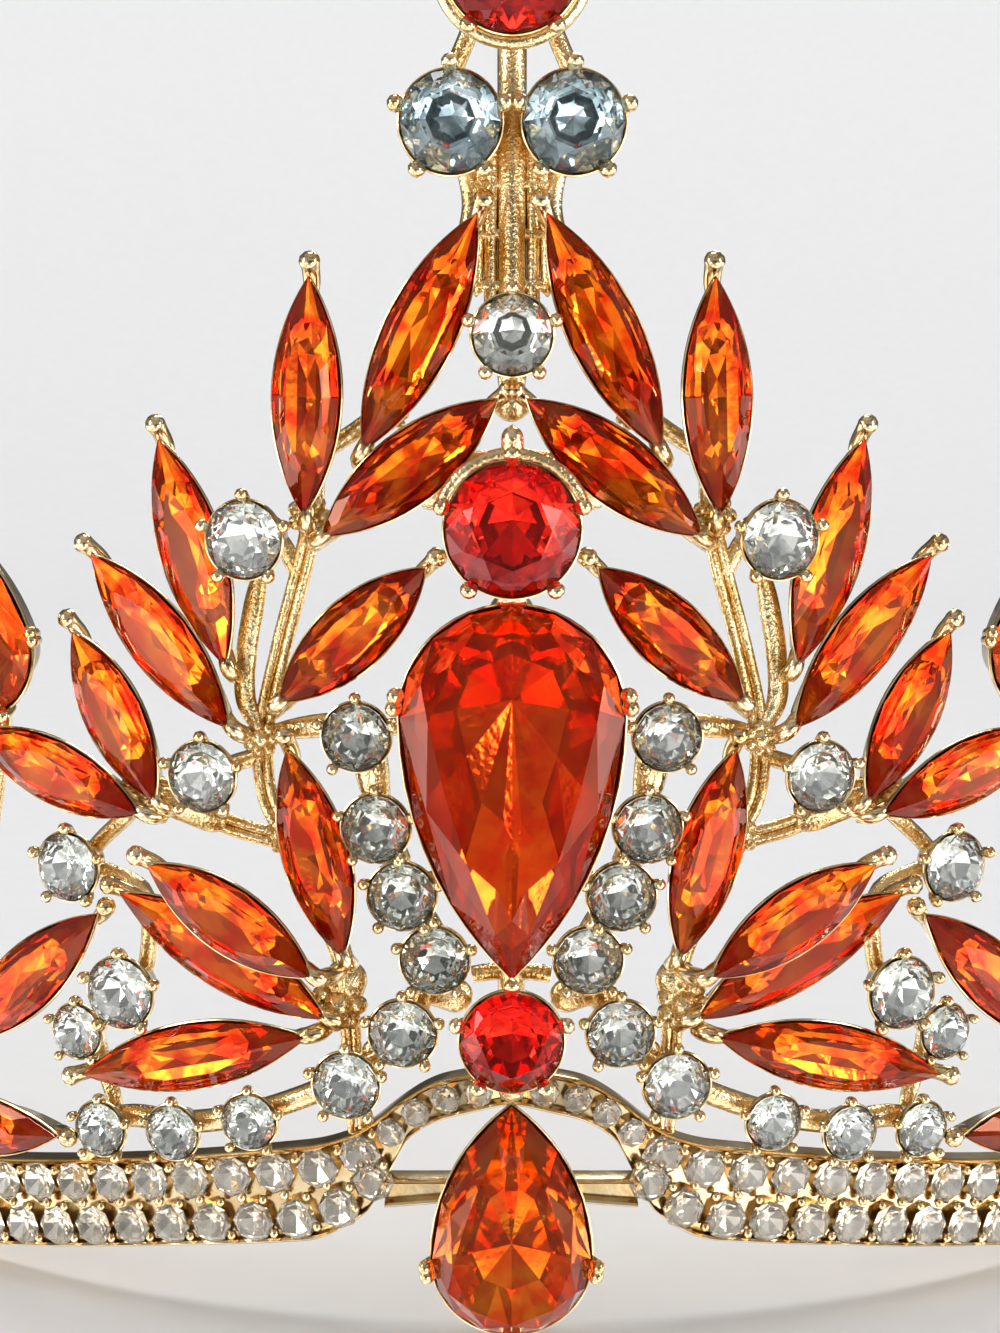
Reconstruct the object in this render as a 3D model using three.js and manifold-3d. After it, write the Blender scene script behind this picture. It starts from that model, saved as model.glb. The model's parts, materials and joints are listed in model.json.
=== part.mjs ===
// Crystal tiara: a gold-plated open frame on a curved band, set with foiled glass stones.
// Millimetres, +Z up, the front faces -Y. Places are given on the head's cylinder:
// "across" is the arc length from the centre front, "up" the height, "lift" the way outwards.
import * as THREE from 'three';
import { mergeVertices } from 'three/addons/utils/BufferGeometryUtils.js';
import Module from 'manifold-3d';

const wasm = await Module();
wasm.setup();

// Plan and band
const HEAD_RADIUS = 70;
const HEAD_AXIS_Y = 39.68;
const HALF_ARC = 104;
const BAND_BACK = -0.8;
const BAND_FRONT = 1.0;
const BAND_STEP = 6.5;
const ARCH_REACH = 9.2;
const LOOP_RADIUS = 2.2;
const LOOP_WIRE = 0.6;
const LOOP_SIDES = 5;
const LOOP_STEPS = 8;
const LOOP_FOOT = 0.2;

// Wires and cups
const WIRE_SIDES = 5;
const WIRE_STEPS = 2;
const WIRE_RADIUS = 0.6;
const SPINE_RADIUS = 0.9;
const WIRE_LIFT = -0.35;
const CUP_FLOOR = -0.2;
const CUP_BASE = 0.4;
const CUP_GAP = 0.45;
const CUP_RIM = 0.5;
const CUP_INSET = 0.9;
const RIM_DROP = 0.15;
const CLAW_SIDES = 4;
const CLAW_TAPER = 0.75;
const CLAW_RADIUS = 0.45;
const CLAW_REACH = 0.6;
const TIP_CLAW_RADIUS = 0.75;
const TIP_CLAW_REACH = 0.85;
const CLAW_ABOVE = 0.7;
const CLAW_BELOW = 1.1;
const BOSS_RADIUS = 2.0;
const BOSS_TOP = 0.2;
const POST_SIDES = 6;

// Cut of the stones, as shares of their width
const TABLE = 0.58;
const CROWN_SHARE = 0.2;
const PEAR_CROWN_SHARE = 0.16;
const LEAF_DEPTH_SHARE = 0.3;
const ROUND_DEPTH_SHARE = 0.42;
const PEAR_DEPTH_SHARE = 0.3;
const LEAF_SIDES = 8;
const ROUND_SIDES = 10;
const SMALL_SIDES = 8;
const PEAR_SIDES = 12;
const PEAR_CLAWS = [3, 6, 9];
const LEAF_WIDTH = 4;

// The band's edges, from the drop's shoulder to the end: across, lower edge, upper edge
const BAND_STATIONS = [
  { across: 8.0, low: 7.8, high: 12.6 },
  { across: 11.8, low: 5.4, high: 11.6 },
  { across: 21.8, low: 4.0, high: 9.9 },
  { across: 33.4, low: 2.0, high: 8.0 },
  { across: 46, low: 0, high: 6.2 },
  { across: HALF_ARC, low: 0, high: 6.0 },
];
// The strip that arches over the drop, and the bar from the drop's shoulder to the band
const ARCH_STATIONS = [
  { across: 0, low: 14.6, high: 17.0 },
  { across: 4.8, low: 13.4, high: 16.0 },
  { across: 7.2, low: 11.6, high: 14.4 },
  { across: ARCH_REACH, low: 9.4, high: 12.6 },
];
const SHOULDER_STATIONS = [
  { across: 3.0, low: 8.3, high: 9.8 },
  { across: ARCH_REACH, low: 7.6, high: 9.6 },
];

// Leaf stones of the right half: middle, length, turn of the outer tip from level, extra cup floor
const LEAVES = [
  { name: 'leaf_crest', across: 5.25, up: 61.3, long: 15, turn: 116.5, floor: 0 },
  { name: 'leaf_upright', across: 11.8, up: 57.6, long: 13.8, turn: 92, floor: 0 },
  { name: 'leaf_cross', across: 5.9, up: 53.5, long: 13, turn: 142.5, floor: 0 },
  { name: 'leaf_heart', across: 9.3, up: 43.6, long: 12, turn: 137.5, floor: 0 },
  { name: 'leaf_wing_high', across: 18.9, up: 48.4, long: 14, turn: 73.5, floor: 0 },
  { name: 'leaf_wing_low', across: 21.1, up: 43.0, long: 13.5, turn: 49, floor: 0 },
  { name: 'leaf_fan_inner', across: 11.6, up: 30.3, long: 13, turn: 75.5, floor: 0 },
  { name: 'leaf_fan_front', across: 16.1, up: 26.6, long: 12, turn: 31.5, floor: 2.4 },
  { name: 'leaf_fan_back', across: 17.5, up: 23.7, long: 15, turn: 27.8, floor: 0 },
  { name: 'leaf_fan_low', across: 19.6, up: 17.1, long: 15.5, turn: -14, floor: 0 },
  { name: 'leaf_side_high', across: 24.3, up: 38.2, long: 11.5, turn: 62, floor: 0 },
  { name: 'leaf_side_level', across: 28.6, up: 34.4, long: 13, turn: 19, floor: 0 },
  { name: 'leaf_side_low', across: 31.3, up: 20.7, long: 15, turn: 139.4, floor: 0 },
  { name: 'leaf_side_partner', across: 43.5, up: 20.5, long: 14.6, turn: 41, floor: 0 },
  { name: 'leaf_band', across: 36.3, up: 10.3, long: 15, turn: 176, floor: 0 },
];

// Round stones in their own cups: rise is how far the stone stands above its deepest seat
const CENTRE_ROUNDS = [
  { name: 'top_round', across: 0, up: 81.5, wide: 8, rise: 0, colour: 'red' },
  { name: 'crown_round', across: 0, up: 61.1, wide: 4.7, rise: 1.6, colour: 'clear' },
  { name: 'heart_round', across: 0, up: 50.2, wide: 8, rise: 2.2, colour: 'red' },
  { name: 'lower_round', across: 0, up: 19.6, wide: 6.4, rise: 0.6, colour: 'red' },
];
const SIDE_ROUNDS = [
  { name: 'crest_round', across: 3.35, up: 73, wide: 6, rise: 0, colour: 'clear' },
  { name: 'stem_round', across: 14.8, up: 49.4, wide: 4.7, rise: 1.8, colour: 'clear' },
  { name: 'wing_round', across: 18.3, up: 34.9, wide: 4.4, rise: 0, colour: 'clear' },
];
// Pears: the place of their round end's middle, and the turn of their point
const CENTRE_PEARS = [
  { name: 'great_pear', across: 0, up: 39.2, long: 22, wide: 13, turn: -90 },
  { name: 'drop_pear', across: 0, up: 5.9, long: 14.4, wide: 9.6, turn: 90 },
];
const SIDE_PEARS = [
  { name: 'side_pear', across: 33, up: 42, long: 13, wide: 8, turn: 68 },
];

// Small clear rounds fused to their cups: the string beside the pear, the row above the band and
// the cluster beside the fan
const SMALL_ROUNDS = [
  { across: 9.0, up: 37.6, wide: 4 },
  { across: 7.9, up: 32.1, wide: 4 },
  { across: 6.4, up: 28.0, wide: 4 },
  { across: 4.5, up: 24.1, wide: 4 },
  { across: 6.4, up: 19.5, wide: 4 },
  { across: 9.8, up: 16.1, wide: 4 },
  { across: 15.9, up: 13.3, wide: 3.4 },
  { across: 20.9, up: 12.1, wide: 3.4 },
  { across: 25.9, up: 11.7, wide: 3.4 },
  { across: 24.0, up: 20.9, wide: 4.4 },
  { across: 27.4, up: 17.9, wide: 3.4 },
  { across: 27.5, up: 28.6, wide: 4.2 },
];

// Wires of the right half, each through its points of across and up
const WIRES = {
  stem: [[11.8, 54], [12.2, 49.5], [14.1, 42.5], [15.3, 37.2], [15.1, 33.4], [13.6, 30.5], [12, 27],
    [10.4, 23], [10, 19], [9.6, 11]],
  string: [[15.3, 37.4], [9, 37.6], [7.9, 32.1], [6.4, 28], [4.5, 24.1], [6.4, 19.5], [9.8, 16.1],
    [15.9, 13.3], [20.9, 12.1], [25.9, 11.7], [29, 7]],
  cluster: [[25.9, 11.7], [27.4, 17.9], [24, 20.9], [23.6, 26.6], [27.5, 28.6], [23.6, 32.6]],
  wing: [[15.3, 37.2], [16.3, 39], [17.4, 43.5]],
  sideBranch: [[13.8, 30.6], [18, 31.6], [22.2, 33.6], [25, 33.2]],
  wingCup: [[15.2, 36], [18.3, 34.9], [21.4, 33.2]],
  sideStem: [[37.6, 5], [37.7, 15], [36.4, 25], [34.6, 34], [33.4, 41]],
  heartLeaf: [[15, 38.4], [12, 41]],
  crossLeaf: [[12.4, 48.6], [9, 51]],
  crestLeafFoot: [[7.4, 57], [12, 54]],
  crestLeafTip: [[3, 65.8], [2.4, 69], [3.35, 73]],
  crest: [[0, 72.6], [3.35, 73]],
  stemCup: [[12.8, 46.8], [14.8, 49.4], [18.4, 46.6]],
};
const SPINE_FOOT = 15;
const SPINE_HEAD = 82;
const BOSSES = [{ across: 10.7, up: 20.6 }, { across: 37.5, up: 15.7 }];
const FAN_POST = { across: 11.5, up: 23.7, top: 2.9 };

const RED_GLASS = { color: 0xc8141c, roughness: 0.08, metalness: 0 };
const ORANGE_GLASS = { color: 0xe24a10, roughness: 0.08, metalness: 0 };
const CLEAR_GLASS = { color: 0xdfe6ea, roughness: 0.05, metalness: 0 };
const GOLD_PLATE = { color: 0xd8ae66, roughness: 0.25, metalness: 1 };
const GLASSES = { red: RED_GLASS, orange: ORANGE_GLASS, clear: CLEAR_GLASS };

const degrees = THREE.MathUtils.degToRad;

// The point of the head's cylinder at an arc length, height and lift
function onHead(across, up, lift) {
  const angle = across / HEAD_RADIUS;
  const radius = HEAD_RADIUS + lift;
  return new THREE.Vector3(radius * Math.sin(angle), HEAD_AXIS_Y - radius * Math.cos(angle), up);
}

// The local frame there: X turned from level towards up, Z outwards
function seatMatrix(across, up, turn) {
  const angle = across / HEAD_RADIUS;
  const level = new THREE.Vector3(Math.cos(angle), Math.sin(angle), 0);
  const outward = new THREE.Vector3(Math.sin(angle), -Math.cos(angle), 0);
  const upward = new THREE.Vector3(0, 0, 1);
  const basis = new THREE.Matrix4().makeBasis(level, upward, outward);
  basis.multiply(new THREE.Matrix4().makeRotationZ(degrees(turn)));
  return basis.setPosition(onHead(across, up, 0));
}

// A closed geometry with shared corners only, and without the slivers at a lathe's axis
function closed(geometry) {
  const bare = geometry.clone();
  bare.deleteAttribute('normal');
  bare.deleteAttribute('uv');
  const merged = mergeVertices(bare, 1e-4);
  const index = merged.index.array;
  const kept = [];
  for (let i = 0; i < index.length; i += 3) {
    const [a, b, c] = index.slice(i, i + 3);
    if (a !== b && b !== c && c !== a) kept.push(a, b, c);
  }
  merged.setIndex(kept);
  return merged;
}

function toSolid(geometry) {
  const shape = closed(geometry);
  const vertProperties = new Float32Array(shape.attributes.position.array);
  const triVerts = new Uint32Array(shape.index.array);
  return new wasm.Manifold(new wasm.Mesh({ numProp: 3, vertProperties, triVerts }));
}

function toGeometry(solid) {
  const mesh = solid.getMesh();
  const geometry = new THREE.BufferGeometry();
  geometry.setAttribute('position', new THREE.BufferAttribute(mesh.vertProperties, 3));
  geometry.setIndex(new THREE.BufferAttribute(mesh.triVerts, 1));
  geometry.computeVertexNormals();
  return geometry;
}

// Half the width of a leaf outline at a way x along it from its middle: two equal arcs
function leafHalfWidth(x, half, wide) {
  const arc = (half * half + wide * wide / 4) / wide;
  return Math.sqrt(Math.max(arc * arc - x * x, 0)) - (arc - wide / 2);
}

// Outlines give a point for a turn t, grown outwards by the way in millimetres
function leafOutline(long, wide) {
  return (t, grow) => {
    const half = long / 2 + grow;
    const x = half * Math.cos(t);
    const y = leafHalfWidth(x, half, wide + 2 * grow);
    return new THREE.Vector2(x, Math.sign(Math.round(Math.sin(t) * 1e6)) * y);
  };
}

function roundOutline(wide) {
  return (t, grow) => new THREE.Vector2(Math.cos(t), Math.sin(t)).multiplyScalar(wide / 2 + grow);
}

// A pear: half a circle at the back, two arcs to the point in front
function pearOutline(long, wide) {
  return (t, grow) => {
    const radius = wide / 2 + grow;
    if (Math.cos(t) < 1e-6) return new THREE.Vector2(Math.cos(t), Math.sin(t)).multiplyScalar(radius);
    const point = long - wide / 2 + grow;
    const x = point * Math.cos(t);
    const y = leafHalfWidth(x, point, 2 * radius);
    return new THREE.Vector2(x, Math.sign(Math.round(Math.sin(t) * 1e6)) * y);
  };
}

// A body of rings from bottom to top, each the outline grown and scaled at a height.
// A lathe gives the grid of faces, and each of its corners then takes its ring's place.
function ringed(outline, sides, rings) {
  const profile = rings.map((ring, row) => new THREE.Vector2(1, row));
  const lathe = new THREE.LatheGeometry(profile, sides);
  const position = lathe.attributes.position;
  for (let column = 0; column <= sides; column++) {
    const t = (column % sides) / sides * 2 * Math.PI;
    rings.forEach((ring, row) => {
      const point = outline(t, ring.grow).multiplyScalar(ring.scale);
      position.setXYZ(column * rings.length + row, point.x, point.y, ring.height);
    });
  }
  return lathe;
}

function cutStone(stone) {
  const rings = [
    { grow: 0, scale: 0, height: stone.girdle - stone.depth },
    { grow: 0, scale: 1, height: stone.girdle },
    { grow: 0, scale: TABLE, height: stone.girdle + stone.crown },
    { grow: 0, scale: 0, height: stone.girdle + stone.crown },
  ];
  return closed(ringed(stone.outline, stone.sides, rings)).applyMatrix4(stone.matrix);
}

// The cup under a stone: a tapering wall with a floor, hollowed along the stone's pavilion
function cup(stone) {
  const top = stone.girdle - RIM_DROP;
  const seat = stone.girdle - stone.depth - CUP_GAP;
  const rings = [
    { grow: 0, scale: 0, height: stone.floor },
    { grow: -CUP_INSET, scale: 1, height: stone.floor },
    { grow: CUP_RIM, scale: 1, height: top },
    { grow: 0, scale: 1, height: top },
    { grow: 0, scale: 0, height: seat },
  ];
  return toSolid(ringed(stone.outline, stone.sides, rings).applyMatrix4(stone.matrix));
}

// A small stone and its cup in one body
function filledCup(stone) {
  const rings = [
    { grow: 0, scale: 0, height: stone.floor },
    { grow: -CUP_INSET, scale: 1, height: stone.floor },
    { grow: CUP_RIM, scale: 1, height: stone.girdle },
    { grow: 0, scale: TABLE, height: stone.girdle + stone.crown },
    { grow: 0, scale: 0, height: stone.girdle + stone.crown },
  ];
  return toSolid(ringed(stone.outline, stone.sides, rings).applyMatrix4(stone.matrix));
}

// A claw stands beside the girdle at a turn of the outline
function claw(stone, turn, radius, reach) {
  const foot = stone.outline(turn, 0);
  const away = foot.clone().normalize().multiplyScalar(reach).add(foot);
  const height = CLAW_ABOVE + CLAW_BELOW;
  const post = new THREE.CylinderGeometry(radius * CLAW_TAPER, radius, height, CLAW_SIDES);
  post.rotateX(Math.PI / 2);
  post.translate(away.x, away.y, stone.girdle + (CLAW_ABOVE - CLAW_BELOW) / 2);
  return toSolid(post.applyMatrix4(stone.matrix));
}

// A wire along a smooth curve over the head's cylinder
function wire(points, radius, steps) {
  const places = points.map(([across, up]) => onHead(across, up, WIRE_LIFT));
  const path = new THREE.CatmullRomCurve3(places);
  const section = new THREE.Shape();
  for (let side = 0; side < WIRE_SIDES; side++) {
    const turn = side / WIRE_SIDES * 2 * Math.PI;
    const corner = [radius * Math.cos(turn), radius * Math.sin(turn)];
    if (side === 0) section.moveTo(...corner);
    else section.lineTo(...corner);
  }
  return toSolid(new THREE.ExtrudeGeometry(section, { extrudePath: path, steps, bevelEnabled: false }));
}

function mirrored(points) {
  return points.map(([across, up]) => [-across, up]);
}

// A value between the two stations that an arc length lies between
function between(stations, across, edge) {
  const after = Math.max(stations.findIndex((station) => station.across >= across - 1e-6), 1);
  const [a, b] = [stations[after - 1], stations[after]];
  const share = (across - a.across) / (b.across - a.across);
  return THREE.MathUtils.lerp(a[edge], b[edge], share);
}

// A strip bent round the head between two arc lengths, with its edges from stations
function strip(from, to, stations) {
  const count = Math.max(Math.ceil((to - from) / BAND_STEP), 3);
  const box = new THREE.BoxGeometry(1, 1, 1, count, 1, 1);
  const position = box.attributes.position;
  for (let i = 0; i < position.count; i++) {
    const across = from + (position.getX(i) + 0.5) * (to - from);
    const low = between(stations, Math.abs(across), 'low');
    const high = between(stations, Math.abs(across), 'high');
    const up = position.getZ(i) < 0 ? low : high;
    const lift = position.getY(i) < 0 ? BAND_FRONT : BAND_BACK;
    const place = onHead(across, up, lift);
    position.setXYZ(i, place.x, place.y, place.z);
  }
  return toSolid(box);
}

function endLoop(side) {
  const loop = new THREE.TorusGeometry(LOOP_RADIUS, LOOP_WIRE, LOOP_SIDES, LOOP_STEPS);
  const middle = HALF_ARC + LOOP_RADIUS - LOOP_WIRE;
  const up = LOOP_FOOT + LOOP_WIRE + LOOP_RADIUS;
  return toSolid(loop.applyMatrix4(seatMatrix(side * middle, up, 0)));
}

// A short post standing outwards from the head's cylinder
function post(across, up, radius, top) {
  const height = top - 2 * WIRE_LIFT;
  const body = new THREE.CylinderGeometry(radius, radius, height, POST_SIDES);
  body.rotateX(Math.PI / 2);
  body.translate(0, 0, top - height / 2);
  return toSolid(body.applyMatrix4(seatMatrix(across, up, 0)));
}

// Everything that a stone and its cup need, from a row of a table
function leafStone(row, side) {
  const floor = CUP_FLOOR + row.floor;
  const depth = LEAF_WIDTH * LEAF_DEPTH_SHARE;
  return {
    name: row.name,
    outline: leafOutline(row.long, LEAF_WIDTH),
    sides: LEAF_SIDES,
    floor,
    depth,
    crown: LEAF_WIDTH * CROWN_SHARE,
    girdle: floor + CUP_BASE + CUP_GAP + depth,
    matrix: seatMatrix(side * row.across, row.up, side > 0 ? row.turn : 180 - row.turn),
    colour: 'orange',
    claws: [{ turn: 0, radius: TIP_CLAW_RADIUS, reach: TIP_CLAW_REACH }],
  };
}

function roundStone(row, side, sides = ROUND_SIDES) {
  const depth = row.wide * ROUND_DEPTH_SHARE;
  return {
    name: row.name,
    outline: roundOutline(row.wide),
    sides,
    floor: CUP_FLOOR,
    depth,
    crown: row.wide * CROWN_SHARE,
    girdle: CUP_FLOOR + CUP_BASE + CUP_GAP + depth + (row.rise ?? 0),
    matrix: seatMatrix(side * row.across, row.up, 0),
    colour: row.colour,
    claws: [],
  };
}

function pearStone(row, side) {
  const depth = row.wide * PEAR_DEPTH_SHARE;
  const turns = PEAR_CLAWS.map((corner) => corner / PEAR_SIDES * 2 * Math.PI);
  return {
    name: row.name,
    outline: pearOutline(row.long, row.wide),
    sides: PEAR_SIDES,
    floor: CUP_FLOOR,
    depth,
    crown: row.wide * PEAR_CROWN_SHARE,
    girdle: CUP_FLOOR + CUP_BASE + CUP_GAP + depth,
    matrix: seatMatrix(side * row.across, row.up, side > 0 ? row.turn : 180 - row.turn),
    colour: 'orange',
    claws: turns.map((turn) => ({ turn, radius: CLAW_RADIUS, reach: CLAW_REACH })),
  };
}

const SIDES = [{ prefix: 'right', side: 1 }, { prefix: 'left', side: -1 }];
const stones = [
  ...CENTRE_ROUNDS.map((row) => roundStone(row, 1)),
  ...CENTRE_PEARS.map((row) => pearStone(row, 1)),
];
const metal = [
  wire([[0, SPINE_FOOT], [0, (SPINE_FOOT + SPINE_HEAD) / 2], [0, SPINE_HEAD]], SPINE_RADIUS, 1),
  strip(-ARCH_REACH, ARCH_REACH, ARCH_STATIONS),
];
for (const { prefix, side } of SIDES) {
  const own = [
    ...LEAVES.map((row) => leafStone(row, side)),
    ...SIDE_ROUNDS.map((row) => roundStone(row, side)),
    ...SIDE_PEARS.map((row) => pearStone(row, side)),
  ];
  own.forEach((stone) => stones.push({ ...stone, name: `${prefix}_${stone.name}` }));
  for (const line of Object.values(WIRES)) {
    const points = side > 0 ? line : mirrored(line);
    const steps = points.length > 2 ? WIRE_STEPS * (points.length - 1) : 1;
    metal.push(wire(points, WIRE_RADIUS, steps));
  }
  for (const row of SMALL_ROUNDS) metal.push(filledCup(roundStone(row, side, SMALL_SIDES)));
  const ends = [side * BAND_STATIONS[0].across, side * HALF_ARC].sort((a, b) => a - b);
  metal.push(strip(...ends, BAND_STATIONS));
  const shoulder = [side * SHOULDER_STATIONS[0].across, side * ARCH_REACH].sort((a, b) => a - b);
  metal.push(strip(...shoulder, SHOULDER_STATIONS));
  metal.push(endLoop(side));
  for (const { across, up } of BOSSES) metal.push(post(side * across, up, BOSS_RADIUS, BOSS_TOP));
  metal.push(post(side * FAN_POST.across, FAN_POST.up, WIRE_RADIUS, FAN_POST.top));
}
for (const stone of stones) {
  metal.push(cup(stone));
  for (const { turn, radius, reach } of stone.claws) metal.push(claw(stone, turn, radius, reach));
}

const tiara = new THREE.Group();
const frame = new THREE.Mesh(
  toGeometry(wasm.Manifold.union(metal)), new THREE.MeshStandardMaterial(GOLD_PLATE));
frame.name = 'frame';
tiara.add(frame);
for (const stone of stones) {
  const mesh = new THREE.Mesh(cutStone(stone), new THREE.MeshStandardMaterial(GLASSES[stone.colour]));
  mesh.name = stone.name;
  tiara.add(mesh);
}

export default tiara;
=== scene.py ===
# %% [markdown]
# # A crystal tiara in pale gold
# The tiara is an open frame of cast and wired metal, plated in pale gold, that carries foiled glass
# stones: orange leaves, red rounds, pears and clear rhinestones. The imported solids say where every
# stone and every piece of metal stands. This lesson keeps those places and dresses them with finely
# cut glass, claws, wires and a paved band.

import json
import math
from types import SimpleNamespace

import bpy
import numpy as np
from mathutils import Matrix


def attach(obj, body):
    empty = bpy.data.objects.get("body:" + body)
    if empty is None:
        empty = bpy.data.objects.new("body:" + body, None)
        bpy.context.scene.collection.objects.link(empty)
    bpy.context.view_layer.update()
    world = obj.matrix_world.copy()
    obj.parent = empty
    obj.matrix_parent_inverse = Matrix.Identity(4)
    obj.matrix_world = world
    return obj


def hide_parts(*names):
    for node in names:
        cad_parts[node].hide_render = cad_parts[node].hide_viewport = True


MM = 0.001
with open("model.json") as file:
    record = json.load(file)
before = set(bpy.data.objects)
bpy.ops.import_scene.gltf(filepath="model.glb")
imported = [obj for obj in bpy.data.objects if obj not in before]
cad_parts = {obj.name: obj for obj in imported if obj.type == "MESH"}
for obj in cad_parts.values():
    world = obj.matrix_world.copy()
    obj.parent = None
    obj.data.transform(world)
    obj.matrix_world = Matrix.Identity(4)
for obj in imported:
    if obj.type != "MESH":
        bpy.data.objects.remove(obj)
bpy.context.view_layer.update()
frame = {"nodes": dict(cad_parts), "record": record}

# %% [markdown]
# ## The camera
# The photograph is a close view of the centre front, taken a little from above. Its focal length in
# pixels was found from the stones' places, so the lens follows from it and from the picture's
# height. The long side of the sensor lies along the picture's height.

# %% Camera
PHOTO_HEIGHT = 1333
FOCAL_PIXELS = 2004
SENSOR_MM = 36.0
CAMERA_PLACE = np.array([-0.7, -149.3, 57.5])
CAMERA_DIP = 7.6

camera_data = bpy.data.cameras.new("camera")
camera_data.sensor_width = SENSOR_MM
camera_data.lens = FOCAL_PIXELS * SENSOR_MM / PHOTO_HEIGHT
camera_data.clip_start = 0.01
camera = bpy.data.objects.new("camera", camera_data)
camera.location = CAMERA_PLACE * MM
camera.rotation_euler = (math.radians(90 - CAMERA_DIP), 0, 0)
bpy.context.scene.collection.objects.link(camera)
bpy.context.scene.camera = camera
print("lens:", round(camera_data.lens, 1), "mm")

# %% [markdown]
# ## Colours and nodes
# Colours are written as sRGB hex values, the way a colour picker shows them, and shaders work in
# linear light, so one function turns them over. A second one adds a node with its settings and its
# links, which keeps every material below short enough to read as a recipe.


# %% Helpers for materials
def linear(hex_colour):
    """sRGB hex to linear RGBA: each channel over 12.92 near black, else a power curve of 2.4."""
    channels = np.array([int(hex_colour[i:i + 2], 16) for i in (1, 3, 5)]) / 255
    curved = np.where(channels <= 0.04045, channels / 12.92, ((channels + 0.055) / 1.055) ** 2.4)
    return (*curved.tolist(), 1.0)


def add(tree, kind, inputs=None, **settings):
    """Adds one node: settings are its own properties, inputs give each socket a value or a link."""
    node = tree.nodes.new(kind)
    for name, value in settings.items():
        setattr(node, name, value)
    for name, value in (inputs or {}).items():
        if isinstance(value, bpy.types.NodeSocket):
            tree.links.new(value, node.inputs[name])
        else:
            node.inputs[name].default_value = value
    return node


def new_material(name):
    """An empty node material and its tree."""
    material = bpy.data.materials.new(name)
    material.use_nodes = True
    material.node_tree.nodes.clear()
    return material, material.node_tree


def per_mm(size_mm):
    """A pattern's scale on Object coordinates: one repeat for each size, in metres."""
    return 1 / (size_mm * MM)


# %% [markdown]
# ## Pale gold plating
# The frame is cast alloy and drawn wire, plated in a champagne gold. Plating hides the alloy's
# grain but keeps the surface below it: claws, cups and the band are tumbled smooth, while stems and
# webs keep the fine dents of the mould. So the colour drifts a little over a few millimetres, the
# gloss changes with it, and a ripple bends the reflections: faint on the polished metal, stronger
# on the cast metal. A pattern could be painted on, but polished metal is mostly what it mirrors, so
# a bent mirror is what looks right from every side.

# %% Gold plating
GOLD_DRIFT_MM = 2.5
GOLD_SMOOTH, GOLD_ROUGH = 0.1, 0.24


def gold_plating(name, deep, pale, ripple_mm, ripple_depth_mm):
    """Metal whose colour and gloss drift together, with a ripple of the given size and depth."""
    material, tree = new_material(name)
    place = add(tree, "ShaderNodeTexCoord").outputs["Object"]
    drift = add(tree, "ShaderNodeTexNoise", {
        "Vector": place, "Scale": per_mm(GOLD_DRIFT_MM), "Detail": 3})
    ripple = add(tree, "ShaderNodeTexNoise", {
        "Vector": place, "Scale": per_mm(ripple_mm), "Detail": 2})
    tone = add(tree, "ShaderNodeValToRGB", {"Fac": drift.outputs["Fac"]})
    tone.color_ramp.elements[0].position = 0.3
    tone.color_ramp.elements[0].color = linear(deep)
    tone.color_ramp.elements[1].position = 0.7
    tone.color_ramp.elements[1].color = linear(pale)
    gloss = add(tree, "ShaderNodeMapRange", {
        "Value": drift.outputs["Fac"], "To Min": GOLD_SMOOTH, "To Max": GOLD_ROUGH})
    bump = add(tree, "ShaderNodeBump", {
        "Height": ripple.outputs["Fac"], "Distance": ripple_depth_mm * MM})
    shader = add(tree, "ShaderNodeBsdfPrincipled", {
        "Base Color": tone.outputs["Color"], "Metallic": 1.0, "Roughness": gloss.outputs["Result"],
        "Normal": bump.outputs["Normal"]})
    add(tree, "ShaderNodeOutputMaterial", {"Surface": shader.outputs["BSDF"]})
    return material


gold = gold_plating("champagne_gold_plating_polished", "#D3AE74", "#F0DCB4",
                    ripple_mm=0.45, ripple_depth_mm=0.008)
cast_gold = gold_plating("champagne_gold_plating_cast", "#D2AC6C", "#F2DEB4",
                         ripple_mm=0.22, ripple_depth_mm=0.07)
print("made", gold.name, "and", cast_gold.name)

# %% [markdown]
# ## Foiled glass
# These stones are pressed and polished glass with a mirror foil behind. Light goes in through the
# crown, is turned by the foiled facets below and comes out again with the glass's colour, so one
# stone shows bright, deep and nearly black facets side by side. Facets painted in shades would stay
# as they are when the stone turns. Real glass over a tinted mirror does better by itself, so each
# stone has two materials: the polished crown, and the foil seen through it. The great pear is a
# deeper orange than the leaves, the drop and the side pears are amber, and the paving stones are
# paler. The crest's clear rounds are the same clear stones as the rest, but they get a darker,
# cooler foil: this is painted shade, for the darker look they have high on the crest.

# %% Crown glass
GLASS_IOR = 1.55
GLASS_DRIFT_MM = 3.0


def crown_glass(name, pale, deep, gloss):
    """Polished glass: clear all through. Its tint drifts between two near colours."""
    material, tree = new_material(name)
    place = add(tree, "ShaderNodeTexCoord").outputs["Object"]
    drift = add(tree, "ShaderNodeTexNoise", {
        "Vector": place, "Scale": per_mm(GLASS_DRIFT_MM), "Detail": 1})
    tint = add(tree, "ShaderNodeMix", data_type="RGBA")
    tint.inputs["A"].default_value = linear(pale)
    tint.inputs["B"].default_value = linear(deep)
    tree.links.new(drift.outputs["Fac"], tint.inputs["Factor"])
    shader = add(tree, "ShaderNodeBsdfPrincipled", {
        "Base Color": tint.outputs["Result"], "Roughness": 0.0, "IOR": GLASS_IOR,
        "Transmission Weight": 1.0, "Specular Tint": linear(gloss)})
    add(tree, "ShaderNodeOutputMaterial", {"Surface": shader.outputs["BSDF"]})
    return material


# %% Mirror foil
FOIL_DRIFT_MM = 1.8
FOIL_CRINKLE_MM = 0.5
FOIL_CRINKLE_DEPTH_MM = 0.02
FOIL_CRINKLE_STRENGTH = 0.2
FOIL_ROUGH = 0.05


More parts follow.
